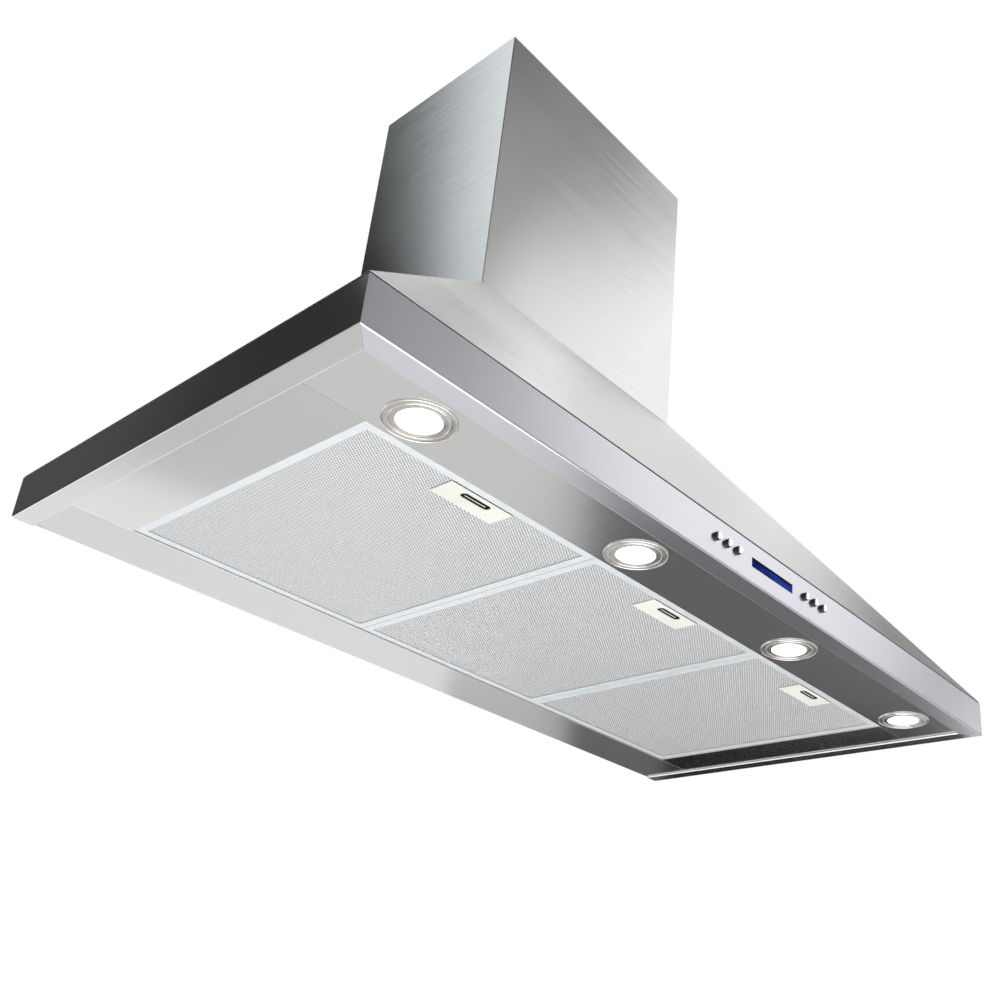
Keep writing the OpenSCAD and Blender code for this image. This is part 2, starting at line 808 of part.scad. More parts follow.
// Threaded body through the plate with a nut above and a collar below
module cable_gland() {
    color("black") translate([gland_pos.x, gland_pos.y, 0]) difference() {
        union() {
            translate([0, 0, plate_z - 10]) cylinder(r = gland_hole_r, h = gland_len);
            translate([0, 0, slope_top]) cylinder(r = nut_r, h = nut_h, $fn = 6);
            translate([0, 0, plate_z - nut_h]) cylinder(r = nut_r, h = nut_h);
        }
        translate([0, 0, plate_z - 11]) cylinder(r = gland_bore_r, h = gland_len + 2);
    }
}

// Closed box on the wall sheet for the driver and the mains terminals
module power_box() {
    wall = [1, 1, 1] * box_t;
    color("whitesmoke") difference() {
        union() {
            span(box_lo, box_hi);
            span([box_lo.x - box_ear, box_hi.y - 3, box_lo.z + 20],
                 [box_hi.x + box_ear, box_hi.y, box_hi.z - 20]);
        }
        span(box_lo + wall, box_hi - wall);
    }
}

// ---- what is drawn ----

fascia_panel();
left_skirt();
right_skirt();
front_slope();
left_slope();
right_slope();
back_panel();
blower_plate();
light_panel();
left_filler_panel();
right_filler_panel();
chimney_lower_cover();
chimney_upper_cover();
chimney_wall_bracket();
mounting_screws();
for (i = [1:filter_count]) {
    filter_frame(i);
    filter_mesh(i);
    filter_latch_plate(i);
    filter_latch_slider(i);
}
for (i = [1:lamp_count]) {
    lamp_bezel(i - 1);
    lamp_lens(i - 1);
}
lamp_cans();
lamp_clips();
for (i = [1:6]) {
    button(i - 1);
}
display_window();
display_module();
control_board();
control_housing();
blower_wrap();
blower_left_side();
blower_right_side();
impeller();
motor();
motor_shaft();
motor_bracket();
duct_spigot();
damper_front();
damper_rear();
damper_pin();
power_box();
cable_gland();
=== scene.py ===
import json
import math

import bmesh
import bpy
from mathutils import Euler, Matrix, Vector


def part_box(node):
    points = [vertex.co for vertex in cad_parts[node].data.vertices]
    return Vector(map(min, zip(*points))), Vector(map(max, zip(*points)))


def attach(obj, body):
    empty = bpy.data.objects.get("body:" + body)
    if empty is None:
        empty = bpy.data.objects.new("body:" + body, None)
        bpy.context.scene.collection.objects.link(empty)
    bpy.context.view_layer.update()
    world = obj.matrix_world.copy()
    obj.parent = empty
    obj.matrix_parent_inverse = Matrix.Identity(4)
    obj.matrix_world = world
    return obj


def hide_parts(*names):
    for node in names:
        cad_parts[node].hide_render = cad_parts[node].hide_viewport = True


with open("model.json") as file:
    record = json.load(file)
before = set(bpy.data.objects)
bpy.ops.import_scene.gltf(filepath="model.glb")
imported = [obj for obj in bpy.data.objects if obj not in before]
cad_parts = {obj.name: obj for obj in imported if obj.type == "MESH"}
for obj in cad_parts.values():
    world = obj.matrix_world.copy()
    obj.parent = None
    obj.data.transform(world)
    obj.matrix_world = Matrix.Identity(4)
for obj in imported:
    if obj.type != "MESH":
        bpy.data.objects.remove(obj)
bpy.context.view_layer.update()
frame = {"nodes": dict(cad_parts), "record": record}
record = frame["record"]
SLOT_OF = {part["node"]: part["material_slot"] for part in record["subparts"]}
BODY_OF = {node: body for body, names in record["behaviour"]["bodies"].items() for node in names}
MM = 0.001

# ---------------------------------------------------------------- camera

CAMERA_PLACE = (-1.0255, -1.2449, -0.5503)
CAMERA_AZIMUTH = 47.063       # degrees from +Y towards +X
CAMERA_ELEVATION = 24.126     # degrees, looking up
CAMERA_ROLL = 4.937
LENS = 41.342
SHIFT = (-0.0632, 0.0905)


def make_camera():
    data = bpy.data.cameras.new("camera")
    data.lens = LENS
    data.sensor_width = 36
    data.shift_x, data.shift_y = SHIFT
    data.clip_start, data.clip_end = 0.01, 100
    camera = bpy.data.objects.new("camera", data)
    bpy.context.scene.collection.objects.link(camera)
    azimuth, elevation = math.radians(CAMERA_AZIMUTH), math.radians(CAMERA_ELEVATION)
    turn = Euler((math.pi / 2 + elevation, 0, -azimuth)).to_matrix()
    roll = Matrix.Rotation(math.radians(CAMERA_ROLL), 3, "Z")
    camera.matrix_world = Matrix.Translation(CAMERA_PLACE) @ (turn @ roll).to_4x4()
    bpy.context.scene.camera = camera


make_camera()

# ---------------------------------------------------------------- node helpers


def new_material(name, color, metallic=0.0, roughness=0.5, **values):
    """A Principled material. Named values go straight to the shader's sockets."""
    material = bpy.data.materials.new(name)
    material.use_nodes = True
    nodes = material.node_tree.nodes
    shader = nodes["Principled BSDF"]
    shader.inputs["Base Color"].default_value = (*color, 1)
    shader.inputs["Metallic"].default_value = metallic
    shader.inputs["Roughness"].default_value = roughness
    for socket, value in values.items():
        shader.inputs[socket.replace("_", " ")].default_value = value
    return material, shader


class Nodes:
    """Short calls for building one material's node tree."""

    def __init__(self, material):
        self.tree = material.node_tree

    def add(self, kind, inputs=(), **settings):
        node = self.tree.nodes.new("ShaderNode" + kind)
        for key, value in settings.items():
            setattr(node, key, value)
        for socket, value in dict(inputs).items():
            if isinstance(value, bpy.types.NodeSocket):
                self.tree.links.new(value, node.inputs[socket])
            else:
                node.inputs[socket].default_value = value
        return node

    def link(self, source, target):
        self.tree.links.new(source, target)

    def place(self, scale):
        coordinates = self.add("TexCoord").outputs["Object"]
        return self.add("Mapping", {"Vector": coordinates, "Scale": scale}).outputs[0]

    def noise(self, vector, scale, detail=3.0, roughness=0.55):
        inputs = {"Vector": vector, "Scale": scale, "Detail": detail, "Roughness": roughness}
        return self.add("TexNoise", inputs).outputs["Fac"]

    def spread(self, value, low, high, start=0.3, end=0.7):
        """Maps start to end, which is where most of a noise lies, onto low to high."""
        inputs = {"Value": value, "From Min": start, "From Max": end, "To Min": low, "To Max": high}
        return self.add("MapRange", inputs).outputs["Result"]

    def math(self, operation, a, b):
        return self.add("Math", {0: a, 1: b}, operation=operation).outputs[0]

    def tint(self, color, factor):
        """A colour made lighter or darker by a factor near 1."""
        return self.add("VectorMath", {0: color, "Scale": factor}, operation="SCALE").outputs[0]

    def bump(self, height, distance):
        return self.add("Bump", {"Height": height, "Strength": 1.0, "Distance": distance}).outputs["Normal"]


# ---------------------------------------------------------------- materials

STEEL = (0.62, 0.615, 0.61)


def brushed_steel(name, grain, groove, color=STEEL, roughness=0.24, lines=0.06, relief=0.00002):
    """Steel with fine lines along the groove direction.

    Grain is the noise scale per axis, small along the lines. The gloss is stretched across the grooves.
    """
    material, shader = new_material(name, color, 1.0, roughness, Anisotropic=0.85)
    n = Nodes(material)
    fine = n.noise(n.place(grain), 1.0, 4.0, 0.7)
    cloud = n.noise(n.place((1, 1, 1)), 5.0, 2.0)
    factor = n.math("MULTIPLY", n.spread(fine, 1 - lines, 1 + lines), n.spread(cloud, 0.985, 1.015))
    n.link(n.tint((*color,), factor), shader.inputs["Base Color"])
    rough = n.math("ADD", n.spread(fine, roughness - 0.02, roughness + 0.02), n.spread(cloud, -0.01, 0.01))
    n.link(rough, shader.inputs["Roughness"])
    n.link(n.bump(fine, relief), shader.inputs["Normal"])
    normal = n.add("NewGeometry").outputs["Normal"]
    across = n.add("VectorMath", {0: normal, 1: groove}, operation="CROSS_PRODUCT").outputs[0]
    n.link(across, shader.inputs["Tangent"])
    return material


def plain_metal(name, color, roughness, mottle=0.05, size=60.0, bump=0.0):
    """Metal with a faint mottle in its colour and gloss."""
    material, shader = new_material(name, color, 1.0, roughness)
    n = Nodes(material)
    mottled = n.noise(n.place((1, 1, 1)), size, 4.0)
    n.link(n.tint(color, n.spread(mottled, 1 - mottle, 1 + mottle)), shader.inputs["Base Color"])
    n.link(n.spread(mottled, roughness * 0.8, roughness * 1.2), shader.inputs["Roughness"])
    if bump:
        n.link(n.bump(mottled, bump), shader.inputs["Normal"])
    return material


def aluminium(name, color, roughness, mottle, size):
    """Raw aluminium with a dull skin, half way between metal and paint."""
    material = plain_metal(name, color, roughness, mottle, size)
    material.node_tree.nodes["Principled BSDF"].inputs["Metallic"].default_value = 0.4
    return material


def moulded(name, color, roughness, bump=0.00003, size=900.0, **values):
    """Moulded plastic with a fine eroded texture."""
    material, shader = new_material(name, color, 0.0, roughness, **values)
    n = Nodes(material)
    eroded = n.noise(n.place((1, 1, 1)), size, 2.0)
    cloud = n.noise(n.place((1, 1, 1)), 12.0, 3.0)
    n.link(n.tint(color, n.spread(cloud, 0.95, 1.05)), shader.inputs["Base Color"])
    n.link(n.spread(eroded, roughness - 0.05, roughness + 0.05), shader.inputs["Roughness"])
    n.link(n.bump(eroded, bump), shader.inputs["Normal"])
    return material


def lit_lens(name):
    """Frosted lens, lit from behind, a little dimmer and warmer at its rim."""
    material, shader = new_material(name, (0.9, 0.9, 0.88), 0.0, 0.35)
    n = Nodes(material)
    corner = n.add("TexCoord").outputs["Generated"]
    centred = n.add("Mapping", {"Vector": corner, "Location": (-0.5, -0.5, 0)}).outputs[0]
    flat = n.add("VectorMath", {0: centred, 1: (1, 1, 0)}, operation="MULTIPLY").outputs[0]
    distance = n.add("VectorMath", {0: flat}, operation="LENGTH").outputs["Value"]
    glow = n.add("ValToRGB", {"Fac": n.spread(distance, 0, 1, 0.40, 0.50)})
    glow.color_ramp.elements[0].color = (1, 1, 0.985, 1)
    glow.color_ramp.elements[1].color = (0.9, 0.84, 0.72, 1)
    n.link(glow.outputs["Color"], shader.inputs["Emission Color"])
    shader.inputs["Emission Strength"].default_value = 1.25
    return material


def blue_window(name):
    """Back lit blue window, brighter at its right end, black along its top and left edges."""
    material, shader = new_material(name, (0.001, 0.002, 0.01), 0.0, 0.35, IOR=1.05)
    n = Nodes(material)
    place = n.add("SeparateXYZ", {"Vector": n.add("TexCoord").outputs["Generated"]})
    across, up = place.outputs["X"], place.outputs["Z"]
    border = n.math("MULTIPLY", n.spread(up, 1, 0, 0.78, 0.84), n.spread(across, 0, 1, 0.02, 0.03))
    ramp = n.add("ValToRGB", {"Fac": across})
    ramp.color_ramp.elements[0].color = (0.002, 0.006, 0.10, 1)
    ramp.color_ramp.elements[1].color = (0.018, 0.045, 0.34, 1)
    grid = n.noise(n.place((1, 1, 1)), 1500.0, 1.0)
    cells = n.noise(n.place((60, 60, 200)), 1.0, 1.0)
    shade = n.math("MULTIPLY", n.spread(grid, 0.9, 1.1), n.spread(cells, 0.6, 1.4))
    lit = n.tint(ramp.outputs["Color"], n.math("MULTIPLY", shade, border))
    n.link(lit, shader.inputs["Emission Color"])
    n.link(n.spread(grid, 0.30, 0.40), shader.inputs["Roughness"])
    shader.inputs["Emission Strength"].default_value = 0.8
    return material


def circuit(name):
    """Green solder mask, lighter and darker in blocks."""
    material, shader = new_material(name, (0.01, 0.12, 0.05), 0.0, 0.35)
    n = Nodes(material)
    cells = n.add("TexVoronoi", {"Vector": n.place((1, 1, 1)), "Scale": 180.0}, distance="MANHATTAN")
    blocks = cells.outputs["Distance"]
    n.link(n.tint((0.01, 0.13, 0.05), n.spread(blocks, 0.7, 1.4)), shader.inputs["Base Color"])
    n.link(n.spread(blocks, 0.25, 0.45), shader.inputs["Roughness"])
    return material


LEVEL_GRAIN = (6, 6, 1400)
X_GRAIN, X_GROOVE = (6, 1400, 1400), (1, 0, 0)
Y_GRAIN, Y_GROOVE = (1400, 6, 1400), (0, 1, 0)

chimney_front = brushed_steel("chimney_front", LEVEL_GRAIN, X_GROOVE, lines=0.10, roughness=0.20)
chimney_side = brushed_steel("chimney_side", LEVEL_GRAIN, Y_GROOVE, lines=0.14, roughness=0.15)
slope_finish = dict(lines=0.04, roughness=0.28, relief=0.000008)
slope_steel = brushed_steel("slope_steel", LEVEL_GRAIN, X_GROOVE, **slope_finish)
side_slope_steel = brushed_steel("side_slope_steel", LEVEL_GRAIN, Y_GROOVE, **slope_finish)
skirt_steel = brushed_steel("skirt_steel", Y_GRAIN, Y_GROOVE, lines=0.05, roughness=0.15)
fascia_steel = brushed_steel("fascia_steel", X_GRAIN, X_GROOVE, (0.615, 0.612, 0.655), lines=0.04)
under_steel = brushed_steel("under_steel", X_GRAIN, X_GROOVE, lines=0.05, roughness=0.17, relief=0.000006)
filler_steel = brushed_steel(
    "filler_steel", Y_GRAIN, Y_GROOVE, lines=0.02, roughness=0.12, relief=0.000005
)
# a pale, part metal finish for the rims' inner bends that always looks light: a painted highlight
bend_highlight_paint = aluminium("bend_highlight_paint", (0.92, 0.92, 0.91), 0.35, 0.02, 200)
bezel_polish = plain_metal("bezel_polish", (0.80, 0.79, 0.78), 0.08, 0.02, 40)
bezel_satin = plain_metal("bezel_satin", (0.50, 0.48, 0.45), 0.32, 0.05, 200)

MATERIALS = {
    "brushed_steel": chimney_front,
    "underside_steel": under_steel,
    "galvanised_steel": plain_metal("galvanised_steel", (0.52, 0.54, 0.56), 0.42, 0.12, 90, 0.00002),
    "zinc_screw": plain_metal("zinc_screw", (0.60, 0.60, 0.57), 0.30, 0.06, 500),
    "filter_frame": aluminium("filter_frame", (0.64, 0.675, 0.69), 0.45, 0.03, 120),
    "filter_mesh": aluminium("filter_mesh", (0.86, 0.86, 0.87), 0.40, 0.03, 400),
    "latch_plastic": moulded("latch_plastic", (0.62, 0.62, 0.56), 0.5),
    "latch_bar": moulded("latch_bar", (0.70, 0.70, 0.68), 0.30),
    "lamp_chrome": bezel_polish,
    "lamp_lens": lit_lens("lamp_lens"),
    "lamp_can": plain_metal("lamp_can", (0.42, 0.42, 0.43), 0.5, 0.10, 200, 0.00003),
    "spring_steel": plain_metal("spring_steel", (0.5, 0.5, 0.5), 0.28, 0.05, 100),
    "button_chrome": plain_metal("button_chrome", (0.88, 0.88, 0.89), 0.10, 0.02, 300),
    "display_glass": blue_window("display_glass"),
    "black_plastic": moulded("black_plastic", (0.018, 0.018, 0.02), 0.45),
    "circuit_board": circuit("circuit_board"),
    "blower_steel": plain_metal("blower_steel", (0.36, 0.38, 0.40), 0.45, 0.10, 70, 0.00002),
    "impeller_metal": plain_metal("impeller_metal", (0.40, 0.42, 0.45), 0.38, 0.08, 120),
    "motor_metal": moulded("motor_metal", (0.05, 0.05, 0.055), 0.5, 0.00006, 500, Metallic=0.4),
    "shaft_steel": plain_metal("shaft_steel", (0.6, 0.6, 0.62), 0.18, 0.03, 300),
    "damper_plastic": moulded("damper_plastic", (0.06, 0.06, 0.065), 0.5),
    "box_plastic": moulded("box_plastic", (0.62, 0.62, 0.60), 0.5),
}

# ---------------------------------------------------------------- mesh helpers

SMOOTH_ANGLE = math.radians(34)
SHARP_ANGLE = math.radians(40)


def finish_mesh(mesh):
    mesh.shade_smooth()
    mesh.set_sharp_from_angle(angle=SMOOTH_ANGLE)
    return mesh


def face_outwards(mesh):
    bm = bmesh.new()
    bm.from_mesh(mesh)
    bmesh.ops.recalc_face_normals(bm, faces=bm.faces)
    bm.to_mesh(mesh)
    bm.free()
    return mesh


def show(name, mesh, body, materials, replaced=()):
    """Links a finished mesh as a piece of the object."""
    obj = bpy.data.objects.new(name, finish_mesh(mesh))
    bpy.context.scene.collection.objects.link(obj)
    for material in materials:
        mesh.materials.append(material)
    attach(obj, body)
    if replaced:
        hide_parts(*replaced)
    return obj


def runs_along(axis, first, second, slack=0.0002):
    """A test for edges that run along an axis, at these places on the other two axes."""
    others = [i for i in range(3) if i != axis]

    def test(edge):
        return all(
            abs(vert.co[i] - place) < slack
            for vert in edge.verts
            for i, place in zip(others, (first, second))
        )

    return test


def round_edges(bm, edges, offset, segments):
    bmesh.ops.bevel(
        bm, geom=edges, offset=offset, segments=segments, profile=0.5, affect="EDGES", clamp_overlap=True
    )


def softened(node, material, bends=(), bend=1.2 * MM, edge=0.2 * MM, side_material=None, reshape=None):
    """Replaces a CAD node by the same sheet with round bends and eased edges.

    Faces that look towards X get the side material, if there is one.
    """
    bm = bmesh.new()
    bm.from_mesh(frame["nodes"][node].data)
    if reshape:
        reshape(bm)
    bmesh.ops.remove_doubles(bm, verts=bm.verts, dist=0.002 * MM)
    bmesh.ops.dissolve_limit(bm, angle_limit=math.radians(1), verts=bm.verts, edges=bm.edges)
    chosen = [e for e in bm.edges if any(test(e) for test in bends)]
    if chosen:
        round_edges(bm, chosen, bend, 5)
    if edge:
        sharp = [e for e in bm.edges if len(e.link_faces) == 2 and e.calc_face_angle(0) > SHARP_ANGLE]
        round_edges(bm, sharp, edge, 2)
    if side_material:
        bm.normal_update()
        for face in bm.faces:
            face.material_index = int(abs(face.normal.x) > 0.72)
    mesh = bpy.data.meshes.new(node + "_sheet")
    bm.to_mesh(mesh)
    bm.free()
    materials = [material, side_material] if side_material else [material]
    obj = show(node + "_piece", mesh, BODY_OF[node], materials, [node])
    weighted = obj.modifiers.new("even_faces", "WEIGHTED_NORMAL")
    weighted.keep_sharp = True
    return obj


def paint_bend_highlight(piece, near):
    """Brightens the lower half of a rim's inner bend with a pale material: a painted highlight along the
    bend.
    """
    piece.data.materials.append(bend_highlight_paint)
    for face in piece.data.polygons:
        if near(face.center) and face.center.z < 2 * MM and 0.25 < -face.normal.z < 0.97:
            face.material_index = len(piece.data.materials) - 1


def arc(centre, radius, start, end, steps):
    """Points of an arc in a plane, angles in degrees."""
    angles = [math.radians(start + (end - start) * i / steps) for i in range(steps + 1)]
    return [(centre[0] + radius * math.cos(a), centre[1] + radius * math.sin(a)) for a in angles]


def lathe(name, outline, turns=96):
    """A solid of revolution from an outline of (radius, height) points, closed on itself or on the axis."""
    on_axis = [radius < 1e-9 for radius, height in outline]
    open_outline = on_axis[0] and on_axis[-1]
    angles = [2 * math.pi * k / turns for k in range(turns)]
    verts, faces, rings = [], [], []
    for radius, height in outline:
        if radius < 1e-9:
            rings.append([len(verts)] * turns)
            verts.append((0, 0, height))
            continue
        rings.append(list(range(len(verts), len(verts) + turns)))
        verts += [(radius * math.cos(a), radius * math.sin(a), height) for a in angles]
    pairs = list(zip(rings, rings[1:]))
    if not open_outline:
        pairs.append((rings[-1], rings[0]))
    for a, b in pairs:
        for k in range(turns):
            corner = (a[k], a[(k + 1) % turns], b[(k + 1) % turns], b[k])
            faces.append(tuple(dict.fromkeys(corner)))
    mesh = bpy.data.meshes.new(name)
    mesh.from_pydata(verts, [], faces)
    mesh.validate()
    return face_outwards(mesh)


# ---------------------------------------------------------------- sheet metal

hood_low, hood_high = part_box("fascia_panel")
HALF = hood_high.x
FRONT = hood_low.y
SKIRT_TOP = hood_high.z
RIM_FRONT = hood_high.y
SIDE_RIM = -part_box("left_skirt")[1].x
RIM_BEND = 2.0 * MM
PANEL_BEND = 0.4 * MM
SHEET_EDGE = 0.25 * MM
SHEET = 1 * MM
BAY_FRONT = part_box("light_panel")[1].y
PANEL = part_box("light_panel")[0].z
STRIP_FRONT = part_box("back_panel")[0].y
BAY_HALF = -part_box("left_filler_panel")[1].x
X, Y, Z = 0, 1, 2

fascia = softened("fascia_panel", fascia_steel, [
    runs_along(X, FRONT, 0), runs_along(X, FRONT, SKIRT_TOP), runs_along(X, RIM_FRONT, 0),
], bend=RIM_BEND)
# the rims' inner bends on the fascia and both skirts get a painted highlight
paint_bend_highlight(fascia, lambda place: place.y > RIM_FRONT - RIM_BEND)
for side, node in ((-1, "left_skirt"), (1, "right_skirt")):
    skirt = softened(node, skirt_steel, [
        runs_along(Y, side * HALF, 0),
        runs_along(Y, side * HALF, SKIRT_TOP),
        runs_along(Y, side * SIDE_RIM, 0),
    ], bend=RIM_BEND)
    paint_bend_highlight(skirt, lambda place: abs(place.x) < SIDE_RIM + RIM_BEND)


def raise_wall_edge(bm):
    """Ends the wall sheet at the level of its strip, so the bend between them is clean."""
    for vert in bm.verts:
        if vert.co.z < PANEL:
            vert.co.z = PANEL


softened("front_slope", slope_steel, edge=SHEET_EDGE)
softened("left_slope", side_slope_steel, edge=SHEET_EDGE)
softened("right_slope", side_slope_steel, edge=SHEET_EDGE)
softened("light_panel", under_steel, [runs_along(X, BAY_FRONT, PANEL)], bend=PANEL_BEND)
strip_bend = runs_along(X, STRIP_FRONT, PANEL)
softened("back_panel", under_steel, [strip_bend], bend=PANEL_BEND, reshape=raise_wall_edge)
for side, node in ((-1, "left_filler_panel"), (1, "right_filler_panel")):
    softened(node, filler_steel, [runs_along(Y, side * BAY_HALF, PANEL)], bend=PANEL_BEND)
for node in ("chimney_lower_cover", "chimney_upper_cover"):
    low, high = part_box(node)
    corners = [runs_along(Z, x, low.y) for x in (low.x, high.x)]
    softened(node, chimney_front, corners, bend=1.4 * MM, side_material=chimney_side)

RELIEF = (9 * MM, 6 * MM)      # the wall strip's corner notches, along X and Y


def slab(name, low, high, bevel):
    """A thin plate between two corners."""
    bm = bmesh.new()
    bmesh.ops.create_cube(bm, size=1)
    size, centre = Vector(high) - Vector(low), (Vector(high) + Vector(low)) / 2
    for vert in bm.verts:
        vert.co = Vector(c * s for c, s in zip(vert.co, size)) + centre
    bmesh.ops.bevel(bm, geom=bm.edges[:], offset=bevel, segments=2, profile=0.5, affect="EDGES")
    mesh = bpy.data.meshes.new(name)
    bm.to_mesh(mesh)
    bm.free()
    return mesh


for side, name in ((-1, "left_corner_plate"), (1, "right_corner_plate")):
    outer = side * SIDE_RIM
    left, right = sorted((outer, outer - side * RELIEF[0]))
    plate = slab(name, (left, -RELIEF[1] - SHEET, PANEL), (right, -SHEET, PANEL + SHEET), 0.05 * MM)
    show(name, plate, "canopy", [under_steel])

# ---------------------------------------------------------------- filters

LONG_WAY = 5.85 * MM       # the mesh's diamonds, along X
SHORT_WAY = 3.64 * MM      # and along Y
STRAND = 0.74 * MM
STRAND_HEIGHT = 0.40 * MM
STRAND_TILT = math.radians(-12)
STRAND_TWIST = 0.12 * MM      # the strands' bends stand this far up and down
FLANGE = 11 * MM              # the frame's visible border
MESH_LAP = 3 * MM             # the mesh goes this far under it
HOLE_MARGIN = 18 * MM         # from the latch plate's ends to the hole behind its slot
HOLE_DEPTH = 23.5 * MM
SLOT_FACE = 1.1 * MM          # above this height over the latch plate's face all is black


def strand_section():
    """Cross section of a strand, as (along Y, up) points."""
    c, s = math.cos(STRAND_TILT), math.sin(STRAND_TILT)
    corners = [(-STRAND / 2, 0), (STRAND / 2, 0), (0, STRAND_HEIGHT)]
    return [(y * c - z * s, y * s + z * c) for y, z in corners]


def expanded_mesh(name, low, high, hole_low, hole_high, level):
    """Zigzag strands that meet at their bends, with a rectangular hole left out."""
    section = strand_section()
    sides = len(section)
    swing = SHORT_WAY / 4 - STRAND * 0.32
    verts, faces = [], []
    columns = int((high.x - low.x) / (LONG_WAY / 2))
    rows = int((high.y - low.y) / (SHORT_WAY / 2))
    for row in range(rows):
        middle = low.y + (row + 0.5) * SHORT_WAY / 2
        previous = None
        for column in range(columns + 1):
            x = low.x + column * LONG_WAY / 2
            up = 1 if (row + column) % 2 else -1
            y = middle + up * swing
            inside = hole_low.x < x < hole_high.x and hole_low.y < y < hole_high.y
            if inside:
                if previous is not None:
                    faces.append(tuple(range(previous, previous + sides)))
                previous = None
                continue
            start = len(verts)
            verts += [(x, y + dy, level + dz + up * STRAND_TWIST) for dy, dz in section]
            if previous is None:
                faces.append(tuple(range(start + sides - 1, start - 1, -1)))
            else:
                for k in range(sides):
                    after = (k + 1) % sides
                    faces.append((previous + k, previous + after, start + after, start + k))
            previous = start
        if previous is not None:
            faces.append(tuple(range(previous, previous + sides)))
    mesh = bpy.data.meshes.new(name)
    mesh.from_pydata(verts, [], faces)
    return mesh


def corrugated(name, low, high, level, pitch, depth, thick):
    """A wavy sheet that closes the view above the mesh."""
    steps = int((high.x - low.x) / pitch * 4)
    upper, lower = [], []
    for i in range(steps + 1):
        x = low.x + (high.x - low.x) * i / steps
        z = level + depth / 2 * math.sin(math.pi / 2 * i)
        upper.append((x, z + thick))
        lower.append((x, z))
    outline = lower + upper[::-1]
    count = len(outline)
    verts = [(x, low.y, z) for x, z in outline] + [(x, high.y, z) for x, z in outline]
    faces = [(i, (i + 1) % count, count + (i + 1) % count, count + i) for i in range(count)]
    for i in range(steps):
        a, b, c, d = i, i + 1, count - 2 - i, count - 1 - i
        faces.append((a, d, c, b))
        faces.append((count + a, count + b, count + c, count + d))
    mesh = bpy.data.meshes.new(name)
    mesh.from_pydata(verts, [], faces)
    return face_outwards(mesh)


# the layer above the strands is painted near black: painted shade for the dark openings between them
painted_shade_layer = aluminium("filter_inner_layer", (0.13, 0.13, 0.135), 0.5, 0.25, 700)

for i in (1, 2, 3):
    frame_node, mesh_node = f"filter_{i}_frame", f"filter_{i}_mesh"
    low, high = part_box(frame_node)
    mesh_low, mesh_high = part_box(mesh_node)
    plate_low, plate_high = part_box(f"filter_{i}_latch_plate")
    inset = FLANGE - MESH_LAP
    view_low = Vector((low.x + inset, mesh_low.y + inset, 0))
    view_high = Vector((high.x - inset, mesh_high.y - inset, 0))
    hole_low = plate_low + Vector((HOLE_MARGIN, 0, 0))
    hole_high = Vector((plate_high.x - HOLE_MARGIN, plate_low.y + HOLE_DEPTH, 0))
    level = mesh_low.z + 0.25 * MM
    strands = expanded_mesh(f"filter_{i}_strands", view_low, view_high, hole_low, hole_high, level)
    looks = [MATERIALS["filter_mesh"]]
    show(f"filter_{i}_expanded_mesh", strands, BODY_OF[mesh_node], looks, [mesh_node])
    level = mesh_low.z + 3.2 * MM
    layer = corrugated(f"filter_{i}_layer", view_low, view_high, level, 6 * MM, 1.6 * MM, 0.3 * MM)
    show(f"filter_{i}_painted_shade_layer", layer, BODY_OF[mesh_node], [painted_shade_layer])
    softened(frame_node, MATERIALS["filter_frame"], edge=SHEET_EDGE)
    for part, surface in (("plate", "latch_plastic"), ("slider", "latch_bar")):
        piece = softened(f"filter_{i}_latch_{part}", MATERIALS[surface])
        piece.data.materials.append(MATERIALS["black_plastic"])
        for face in piece.data.polygons:
            face.material_index = int(face.center.z > plate_low.z + SLOT_FACE)

# ---------------------------------------------------------------- lamps

BEAD = 0.75 * MM
INNER_RING = 28.75 * MM
SLEEVE, SLEEVE_OUTER = 29 * MM, 30.2 * MM


def bezel_outline(outer, lens, bottom, panel, sleeve_top):
    """Half section of a bezel: outer bead, cone, inner bead, dish, and the sleeve into the panel."""
    middle = bottom + BEAD
    outline = [(outer, panel)]
    outline += arc((outer - BEAD, middle), BEAD, 0, -180, 10)
    outline.append((outer - 2 * BEAD - 0.1 * MM, middle + 0.45 * MM))
    outline.append((INNER_RING + BEAD + 0.2 * MM, middle + 0.1 * MM))
    outline += arc((INNER_RING, middle), BEAD, 0, -180, 10)
    outline.append((INNER_RING - BEAD - 0.1 * MM, middle + 0.3 * MM))
    outline.append((lens + 1.0 * MM, middle - 0.1 * MM))
    outline += arc((lens + 0.6 * MM, middle), 0.3 * MM, -90, -180, 4)
    outline += [(lens + 0.3 * MM, panel - 0.1 * MM), (SLEEVE, panel - 0.1 * MM)]
    outline += [(SLEEVE, sleeve_top), (SLEEVE_OUTER, sleeve_top), (SLEEVE_OUTER, panel)]
    return outline


